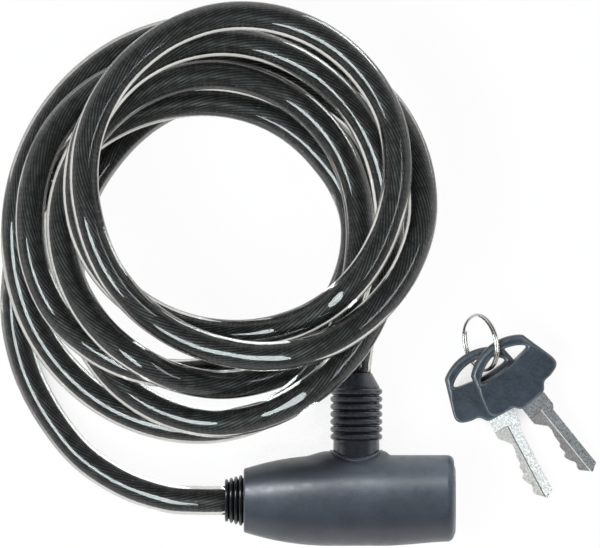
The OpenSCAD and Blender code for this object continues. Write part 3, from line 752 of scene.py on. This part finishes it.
def barrel_profile(s):
    """Outline of the cover from the hole in its nose to the one in its domed key end."""
    drop = s.radius - s.nose_radius
    bend = ((BLEND_X - NOSE_X) ** 2 + drop ** 2) / (2 * drop)
    x = np.linspace(NOSE_X + 0.8, BLEND_X, 56)
    flank = s.radius - bend + np.sqrt(bend ** 2 - (BLEND_X - x) ** 2)
    lip = flank[0] - NOSE_LIP
    straight = np.linspace(BLEND_X, KEY_END_X - END_CORNER, 90)[1:]
    dome = KEY_END_X + 0.4 * ease(np.linspace(0.3, 1, 5))
    return np.concatenate([
        [[NOSE_X + 2, 6.7], [NOSE_X + 0.05, 6.75]],
        as_points(NOSE_X, np.linspace(6.9, lip, 6)),
        arc((NOSE_X + NOSE_LIP, lip), NOSE_LIP, 178, 98, 8),
        as_points(x, flank),
        as_points(straight, s.radius),
        arc((KEY_END_X - END_CORNER, s.radius - END_CORNER), END_CORNER, 86, 6, 16),
        as_points(dome, np.linspace(9.55, 8.5, 5)),
        [[KEY_END_X + 0.3, 8.32], [KEY_END_X - 0.5, 8.3], [KEY_END_X - 3, 8.3]]])


def swollen(s, grid):
    """The turned skin swelling out to the saddle round the socket, quickly on the key
    side and as a long ramp on the nose side. At angle a the saddle's circle, of radius
    S and R off the barrel's axis, is R cos a + sqrt(S^2 - R^2 sin^2 a) out."""
    far, c, z = grid[..., 0], grid[..., 1], grid[..., 2]
    around, r, reach = np.arctan2(z, c), np.hypot(c, z), np.hypot(far, z)
    share = np.where(reach > 0.01, far / np.maximum(reach, 0.01), 0) ** 2
    edge = SWELL + np.where(far < 0, SWELL_NOSE, -SWELL_KEY) * share
    swell = ease((edge - reach) / (edge - SADDLE_REACH)) * (np.cos(around) > 0)
    low = s.boss_height - s.saddle_radius
    crown = low * np.cos(around) + np.sqrt(s.saddle_radius ** 2 - (low * np.sin(around)) ** 2)
    r = r + np.maximum(crown - r, 0) * swell
    run_in = RUN_IN * ease((far - RUN_IN_FROM) / RUN_IN_OVER) * (0.5 - 0.5 * np.cos(around))
    r = r - run_in * (r > END_FACE)
    return as_points(far, r * np.cos(around), r * np.sin(around))


def drawn_to_mouth(s, grid):
    """Points inside the socket's mouth moved out to its rim, and flags that tell which."""
    near = np.hypot(grid[..., 0], grid[..., 2])
    inside = (near < MOUTH) & (grid[..., 1] > 0)
    pull = np.where(inside, MOUTH / np.maximum(near, 0.5), 1.0)
    rim = saddle(s, np.clip(grid[..., 2] * pull, -MOUTH, MOUTH))
    y = np.where(inside, rim, grid[..., 1])
    return as_points(grid[..., 0] * pull, y, grid[..., 2] * pull), inside


def mouth_wall(s):
    """The mouth's wall, from inside the socket up to its rim on the saddle."""
    a = full_turn(128)[None, :]
    depth = np.array([6.9, 3.0, 0.2, 0.0])[:, None]
    x, z = MOUTH * np.sin(a), MOUTH * np.cos(a)
    return as_points(x, saddle(s, z) - depth, z)


class CABLELOCK_OT_barrel(bpy.types.Operator):
    """Turns the barrel's cover with its swelling towards the plug"""
    bl_idname = "cablelock.barrel"
    bl_label = "Barrel"

    def execute(self, context):
        s = context.scene.cablelock_barrel
        skin = swollen(s, turned(barrel_profile(s), "X", 224) - LOCK_AT)
        skin, mouth = drawn_to_mouth(s, skin)
        cover = surface("barrel_cover", [
            (in_lock(skin), *SLEEVE),
            (in_lock(mouth_wall(s)), *SLEEVE)],
            moulded_finish("moulded_cover", s.cover, 0.38, depth=0.005, gloss=0.75),
            smooth_by=50, hole=mouth)
        keep(cover, "body_cover", body="lock_body", slot="moulded_cover")
        return {"FINISHED"}


class CABLELOCK_OT_socket(bpy.types.Operator):
    """Makes the ring that lines the socket's mouth and follows its saddle"""
    bl_idname = "cablelock.socket"
    bl_label = "Socket ring"

    def execute(self, context):
        s = context.scene.cablelock_barrel
        a = full_turn(144)[None, :]
        bore, outside, depth, edge, proud = 6.45, 7.31, 6.5, 0.25, 0.12
        section = np.concatenate([
            [[bore, -depth], [bore, -0.2]],
            arc((bore + edge, 0.0), edge, 170, 90, 5),
            arc((outside - edge - 0.01, 0.0), edge, 90, 10, 5),
            [[outside, -0.3], [outside, -depth]]])
        r, h = section[:, :1], section[:, 1:]
        top = saddle(s, r * np.cos(a)) + proud
        grid = as_points(r * np.sin(a), top + h, r * np.cos(a))
        # the ring is painted twice as bright as the cover: a painted highlight along the rim
        ring = surface("socket_rim", [(in_lock(grid), *HOOP)],
                       moulded_finish("socket_plastic_painted_glint", shade(s.cover, 2.0), 0.26, gloss=0.9),
                       flip=True)
        keep(ring, "socket_ring", body="lock_body", slot="moulded_cover")
        return {"FINISHED"}


class CABLELOCK_OT_relief(bpy.types.Operator):
    """Turns the ribbed bend relief at the barrel's nose"""
    bl_idname = "cablelock.relief"
    bl_label = "Bend relief"

    def execute(self, context):
        s = context.scene.cablelock_barrel
        back, ribs, step, bore, root = -36.2, 4, 1.3, 4.03, 6.2
        # one rib's outline: places along its step, and how far each lies below its crown
        along = step * np.array([0.02, 0.1, 0.22, 0.42, 0.6, 0.74, 0.8, 0.9])
        below = np.array([0.5, 0.14, 0.02, 0.0, 0.08, 0.35, 0.75, 0.85])
        crowns = np.linspace(5.9, 7.0, ribs)
        front = back + ribs * step
        profile = np.concatenate([
            [[back + 0.6, bore], [back, bore + 0.17]],
            *(as_points(back + i * step + along, crowns[i] - below) for i in range(ribs)),
            [[front, crowns[-1] - 0.8], [front + 0.3, root], [front + 1.2, root], [front + 1.2, bore]]])
        piece = surface("relief", [(turned(profile, "X", 112), *HOOP)],
                        moulded_finish("relief_rubber", s.relief, 0.22, gloss=0.6, depth=0.006),
                        smooth_by=60)
        keep(piece, "bend_relief", body="lock_body", slot="black_rubber")
        return {"FINISHED"}


class CABLELOCK_OT_grip(bpy.types.Operator):
    """Turns the plug's ribbed rubber grip"""
    bl_idname = "cablelock.grip"
    bl_label = "Plug grip"

    def execute(self, context):
        s = context.scene.cablelock_barrel
        neck, ribs, first, step, rise, bore = 6.35, 7, 16.5, 2.07, 0.82, 4.03
        low, cone_end, taper = 8.0, 34.6, 1.75
        # a rib is half an ellipse, 0.84 of its step wide
        t = np.linspace(0, 1, 19)[1:-1]
        swell = np.sqrt(np.maximum(1 - ((2 * t - 1) / 0.84) ** 2, 0))
        top, cone = first + ribs * step, np.linspace(0, 1, 9)[1:]
        profile = np.concatenate([
            [[low, bore + 0.17], [low, neck - 0.3], [low + 0.3, neck]],
            as_points(np.linspace(low + 1, first - 0.7, 8), neck),
            [[first - 0.35, neck - 0.05]],
            *(as_points(first + (i + t) * step, neck + 0.02 + rise * swell) for i in range(ribs)),
            [[top, neck + 0.1], [top + 0.2, neck + 0.02], [top + 0.5, neck - 0.12]],
            as_points(top + 0.5 + cone * (cone_end - top - 0.5), neck - 0.12 - cone * taper),
            [[cone_end + 0.25, 4.45], [cone_end + 0.4, 4.25], [cone_end + 0.2, 4.06], [33.0, bore]]])
        # the ribs' crowns are painted paler, a painted highlight with some rubbed wear, and the gaps
        # between them stay dark
        middle, half = first + ribs * step / 2, ribs * step / 2
        crowns = np.where(abs(profile[:, 0] - middle) < half,
                          ease((profile[:, 1] - neck - 0.25) / 0.55), 0.6)
        piece = surface("grip", [(turned(profile, "Y", 144), *HOOP)],
                        moulded_finish("grip_rubber", s.grip, 0.28, gloss=0.9, depth=0.005,
                                       highlight_and_wear=(0.115, 0.140, 0.185)),
                        smooth_by=60, run=crowns)
        keep(piece, "plug_grip", body="cable", slot="black_rubber")
        return {"FINISHED"}


def key_place(points, at, turn, tilt):
    """Key millimetres to the floor plan: tilted about Y, then turned about Z."""
    a, b = math.radians(turn), math.radians(tilt)
    lean = np.array([[math.cos(b), 0, math.sin(b)], [0, 1, 0], [-math.sin(b), 0, math.cos(b)]])
    spin = np.array([[math.cos(a), -math.sin(a), 0], [math.sin(a), math.cos(a), 0], [0, 0, 1]])
    return points @ (spin @ lean).T + np.array(at)


# Each key's name, where its shoulder lies, and its turn and tilt in degrees
KEYS = (("key_1", (64, -34.6, 7.1), -51, 12), ("key_2", (55.4, -38.7, 3.85), -62, 5.5))


def ray_reach(angles, corners):
    """Distance from the origin to a polygon's nearest side along each direction."""
    p = np.asarray(corners, float)
    q = np.roll(p, -1, axis=0)
    d = as_points(np.cos(angles), np.sin(angles))[:, None]
    e = (q - p)[None]
    cross = d[..., 0] * e[..., 1] - d[..., 1] * e[..., 0]
    cross = np.where(abs(cross) < 1e-9, 1e-9, cross)
    t = (p[None, :, 0] * e[..., 1] - p[None, :, 1] * e[..., 0]) / cross
    u = (p[None, :, 0] * d[..., 1] - p[None, :, 1] * d[..., 0]) / cross
    hit = (t > 0) & (u > -1e-6) & (u < 1 + 1e-6)
    return np.where(hit, t, 1e9).min(axis=1)


def rounded(values, width):
    """A closed list averaged over a window, which rounds its corners."""
    k = np.hanning(width + 2)[1:-1]
    k /= k.sum()
    n = len(values)
    wide = np.concatenate([values[-width:], values, values[:width]])
    return np.convolve(wide, k, "same")[width:width + n]


# Outline of one side of a bow from its round end to the blade, in key millimetres
BOW_SIDE = np.array([[-15.1, 9.4], [-5.6, 11.8], [-4.6, 11.9], [-3.6, 11.4], [-2.9, 10.3],
                     [-2.2, 7.6], [-2.4, 6.2], [-1.4, 4.9], [0, 4.3]])
# Outlines of a blade's back and of its cut edge
BLADE_BACK = np.array([[-8, 3.6], [0, 3.6], [0.4, 3.8], [4.2, 3.75], [5.2, 3.3], [5.6, 2.8],
                       [25, 2.8], [26.3, 0.6]])
BLADE_CUTS = np.array([[-8, -3.6], [0, -3.6], [0.4, -3.8], [5.6, -3.8], [8.6, -1.2],
                       [10.4, -1.1], [12.2, -1.6], [14.7, -1.65], [15.4, -2.3],
                       [17.7, -2.1], [18.3, -3], [19.2, -2.8], [20.4, -2.25], [21.3, -1.6],
                       [22.2, -1.7], [23.2, -2.2], [23.9, -2.1], [25.5, -0.4], [26.3, 0.4]])


class CABLELOCK_OT_keys(bpy.types.Operator):
    """Moulds the two keys' bows with their slots and rounded rims"""
    bl_idname = "cablelock.keys"
    bl_label = "Key bows"

    def execute(self, context):
        s = context.scene.cablelock_keys
        centre, half, round_end = np.array([-14.0, 0.0]), 1.7, (-5.6, 0)
        a = np.linspace(-np.pi, np.pi, 480, endpoint=False)
        outline = [arc(round_end, 13.8, 137.5, 222.5, 60), BOW_SIDE * [1, -1], BOW_SIDE[::-1]]
        slot = [arc(round_end, 11.0, 134.5, 225.5, 60), arc((-46.4, 0), 34.7, -13.1, 13.1, 30)]
        outer = rounded(ray_reach(a, np.concatenate(outline) - centre), 15)
        inner = rounded(ray_reach(a, np.concatenate(slot) - centre), 13)
        # the edges are rounder where the rim is a narrow bar, and never meet
        width = outer - inner
        bar = 1 - ease((width - 2.8) / 4.0)
        edge, lip = (np.minimum(r, width * 0.48) for r in (0.75 + 0.5 * bar, 0.28 + 0.95 * bar))
        # the rim's section: its outer edge, its top, its edge at the slot, its underside
        degrees = np.linspace(-90, 90, 13)
        up = np.radians(degrees)[:, None]
        down = up[::-1]
        share = np.linspace(0, 1, 12)[1:-1, None]
        flat = (outer - edge) + share * ((inner + lip) - (outer - edge))
        ray = np.concatenate([outer - edge + edge * np.cos(up), flat,
                              inner + lip - lip * np.cos(down), flat[::-1]])
        z = np.concatenate([(half - edge) * np.sign(np.sin(up)) + edge * np.sin(up),
                            np.full(flat.shape, half),
                            (half - lip) * np.sign(np.sin(down)) + lip * np.sin(down),
                            np.full(flat.shape, -half)])
        shape = as_points(centre[0] + ray * np.cos(a), centre[1] + ray * np.sin(a), z)
        # a painted highlight runs along the upper half of a bow's two upper edges, short of the top
        rubbed, plain = (degrees > 40) & (degrees < 80), np.zeros(len(share))
        rim = np.concatenate([rubbed, plain, rubbed[::-1], plain])
        plastic = moulded_finish("key_plastic", s.bow, 0.36, grain=0.34, depth=0.02, gloss=0.5,
                                 marks=0.7, highlight_and_wear=(0.10, 0.112, 0.13))
        for name, *stance in KEYS:
            grid = key_place(shape, *stance)
            piece = surface(name + "_head", [(grid, *HOOP)], plastic,
                            smooth_by=70, run=rim)
            keep(piece, name + "_bow", body=name, slot="key_plastic")
        return {"FINISHED"}


class CABLELOCK_OT_blades(bpy.types.Operator):
    """Cuts the two keys' blades with their milled step and groove"""
    bl_idname = "cablelock.blades"
    bl_label = "Key blades"

    def execute(self, context):
        s = context.scene.cablelock_keys
        x = np.linspace(-8.0, 26.28, 320)
        top, low = np.interp(x, *BLADE_BACK.T), np.interp(x, *BLADE_CUTS.T)
        # half a thickness is 1, and the step and the groove run in over a short length
        step, groove = (0.5 * ease((x - begin) / 0.25) for begin in (3.5, 4.9))
        bevel = 0.11
        # the section, from the back edge over the flat, the step and the cut edge and
        # home under the groove: places across, then heights
        ring = [(top, 1 - bevel), (top - bevel, 1), (top - 0.6, 1), (1.4, 1), (0.3, 1),
                (0.26, 1 - 0.1 * step), (0.02, 1 - step), (-0.3, 1 - step), (low * 0.5, 1 - step),
                (low + bevel, 1 - step), (low, 1 - step - bevel), (low, -1 + bevel),
                (low + bevel, -1), (0.36, -1), (0.4, groove - 1), (1.5, groove - 1), (1.54, -1),
                (top - 0.6, -1), (top - bevel, -1), (top, -1 + bevel)]
        y = as_points(*(np.clip(across, low, top) for across, _ in ring))
        z = as_points(*(height for _, height in ring))
        shape = as_points(x[:, None], y, z)
        # one nickel silver in two copies: the upper key's painted dark as shade with a painted
        # highlight on its step's wall, the lower key's painted pale as light with a painted shade there
        metals = (blade_finish("key_1_nickel_silver_painted_shade", s.blade_painted_shaded, (0.33, 0.31, 0.30),
                               (0.95, 0.95, 0.93), 0.75),
                  blade_finish("key_2_nickel_silver_painted_light", s.blade_painted_lit, (0.52, 0.49, 0.47),
                               (0.10, 0.10, 0.10), 0.45))
        for (name, *stance), metal in zip(KEYS, metals):
            grid = key_place(shape, *stance)
            piece = surface(name + "_key_blade", [(grid, *ROD)], metal,
                            smooth_by=20, run=(x - x[0]) / MM)
            keep(piece, name + "_blade", body=name, slot="nickel_silver")
        return {"FINISHED"}


class CABLELOCK_OT_ring(bpy.types.Operator):
    """Winds the split ring that holds the keys"""
    bl_idname = "cablelock.ring"
    bl_label = "Split ring"

    def execute(self, context):
        s = context.scene.cablelock_keys
        r, wire, start, wound, cross = 7.7, s.wire_radius, 150, 640, 34
        # the wire changes from the lower turn to the upper within cross degrees of its middle
        degrees = np.linspace(start, start + wound, 420)
        a, share = np.radians(degrees), np.clip((degrees - start - wound / 2) / cross, -1, 1)
        up = np.array([0, 0, 1.0])
        out = as_points(np.cos(a), np.sin(a), 0.0)[:, None]
        b = full_turn(16)[None, :, None]
        line = r * out + 0.8 * wire * np.sin(share * np.pi / 2)[:, None, None] * up
        grid = key_place(line + wire * (np.cos(b) * out + np.sin(b) * up),
                         (49.8, -18.9, 7.6), 12, -57)
        steel = metal_finish("ring_steel", (0.62, 0.61, 0.58), 0.2, 0.6, 0.01, 0.15)
        piece = surface("key_ring", [(grid, *ROD)], steel, flip=True, smooth_by=60)
        keep(piece, "split_ring", body="ring", slot="nickel_silver")
        return {"FINISHED"}


class CABLELOCK_OT_metal(bpy.types.Operator):
    """Gives each CAD piece that is kept its own metal or plastic finish"""
    bl_idname = "cablelock.metal"
    bl_label = "Works"

    def execute(self, context):
        works = (
            (metal_finish("brass", (0.72, 0.52, 0.22), 0.28, 0.5, 0.01, 0.2, "X"),
             ("cylinder_shell", "key_core", "wafer_tumblers")),
            (metal_finish("steel", (0.56, 0.57, 0.58), 0.24, 0.4, 0.008, 0.15, "Y"),
             ("drive_cam", "latch_plate", "cylinder_pin", "fixed_ferrule", "ferrule_pin",
              "plug_ferrule", "plug_pin")),
            (metal_finish("spring_steel", (0.60, 0.61, 0.62), 0.18, 0.4, 0.004, 0.1),
             ("wafer_springs", "core_clip", "latch_spring")),
            (metal_finish("die_cast_zinc", (0.36, 0.37, 0.38), 0.5, 0.35, 0.03, 0.25),
             ("lock_housing",)),
            (moulded_finish("cable_core", (0.02, 0.02, 0.019), 0.3, gloss=0.5),
             ("cable_end_fixed", "cable_end_plug")))
        for finish, names in works:
            for name in names:
                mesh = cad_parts[name].data
                mesh.materials.clear()
                mesh.materials.append(finish)
        return {"FINISHED"}


class CABLELOCK_OT_flags(bpy.types.Operator):
    """Screens the key and right lamps off the lock, and the back lamp off all else"""
    bl_idname = "cablelock.flags"
    bl_label = "Lamp screens"

    def execute(self, context):
        lock = ("barrel_cover", "relief", "grip", "socket_rim")
        states = {"lamp_key": "EXCLUDE", "lamp_back": "INCLUDE", "lamp_right": "EXCLUDE"}
        for lamp, state in states.items():
            lit = bpy.data.collections.new(lamp + "_screen")
            for name in lock:
                lit.objects.link(bpy.data.objects[name])
            for member in lit.collection_objects:
                member.light_linking.link_state = state
            bpy.data.objects[lamp].light_linking.receiver_collection = lit
        return {"FINISHED"}


class CABLELOCK_PT_panel(bpy.types.Panel):
    """Lists the sizes, colours and steps of the cable lock"""
    bl_idname = "CABLELOCK_PT_panel"
    bl_label = "Cable lock"
    bl_space_type = "VIEW_3D"
    bl_region_type = "UI"
    bl_category = "Cable lock"

    def draw(self, context):
        for title, group in GROUPS.items():
            box = self.layout.box()
            box.label(text=title)
            for name in group.__annotations__:
                box.prop(getattr(context.scene, group.__name__.lower()), name)
        for step in STEPS:
            self.layout.operator(step.bl_idname)


GROUPS = {"Cable": CABLELOCK_cable, "Barrel": CABLELOCK_barrel,
          "Keys": CABLELOCK_keys, "Light": CABLELOCK_light}
STEPS = (CABLELOCK_OT_stage, CABLELOCK_OT_grip, CABLELOCK_OT_cable, CABLELOCK_OT_barrel,
         CABLELOCK_OT_socket, CABLELOCK_OT_relief, CABLELOCK_OT_keys, CABLELOCK_OT_blades,
         CABLELOCK_OT_ring, CABLELOCK_OT_metal, CABLELOCK_OT_flags)


def register():
    for group in GROUPS.values():
        bpy.utils.register_class(group)
        setattr(bpy.types.Scene, group.__name__.lower(), PointerProperty(type=group))
    for step in STEPS:
        bpy.utils.register_class(step)
    bpy.utils.register_class(CABLELOCK_PT_panel)


def unregister():
    bpy.utils.unregister_class(CABLELOCK_PT_panel)
    for step in reversed(STEPS):
        bpy.utils.unregister_class(step)
    for group in GROUPS.values():
        delattr(bpy.types.Scene, group.__name__.lower())
        bpy.utils.unregister_class(group)


def main():
    register()
    for step in STEPS:
        name = step.bl_idname.split(".")[1]
        if getattr(bpy.ops.cablelock, name)() != {"FINISHED"}:
            raise RuntimeError("the step " + name + " did not finish")
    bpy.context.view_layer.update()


if __name__ == "__main__":
    main()
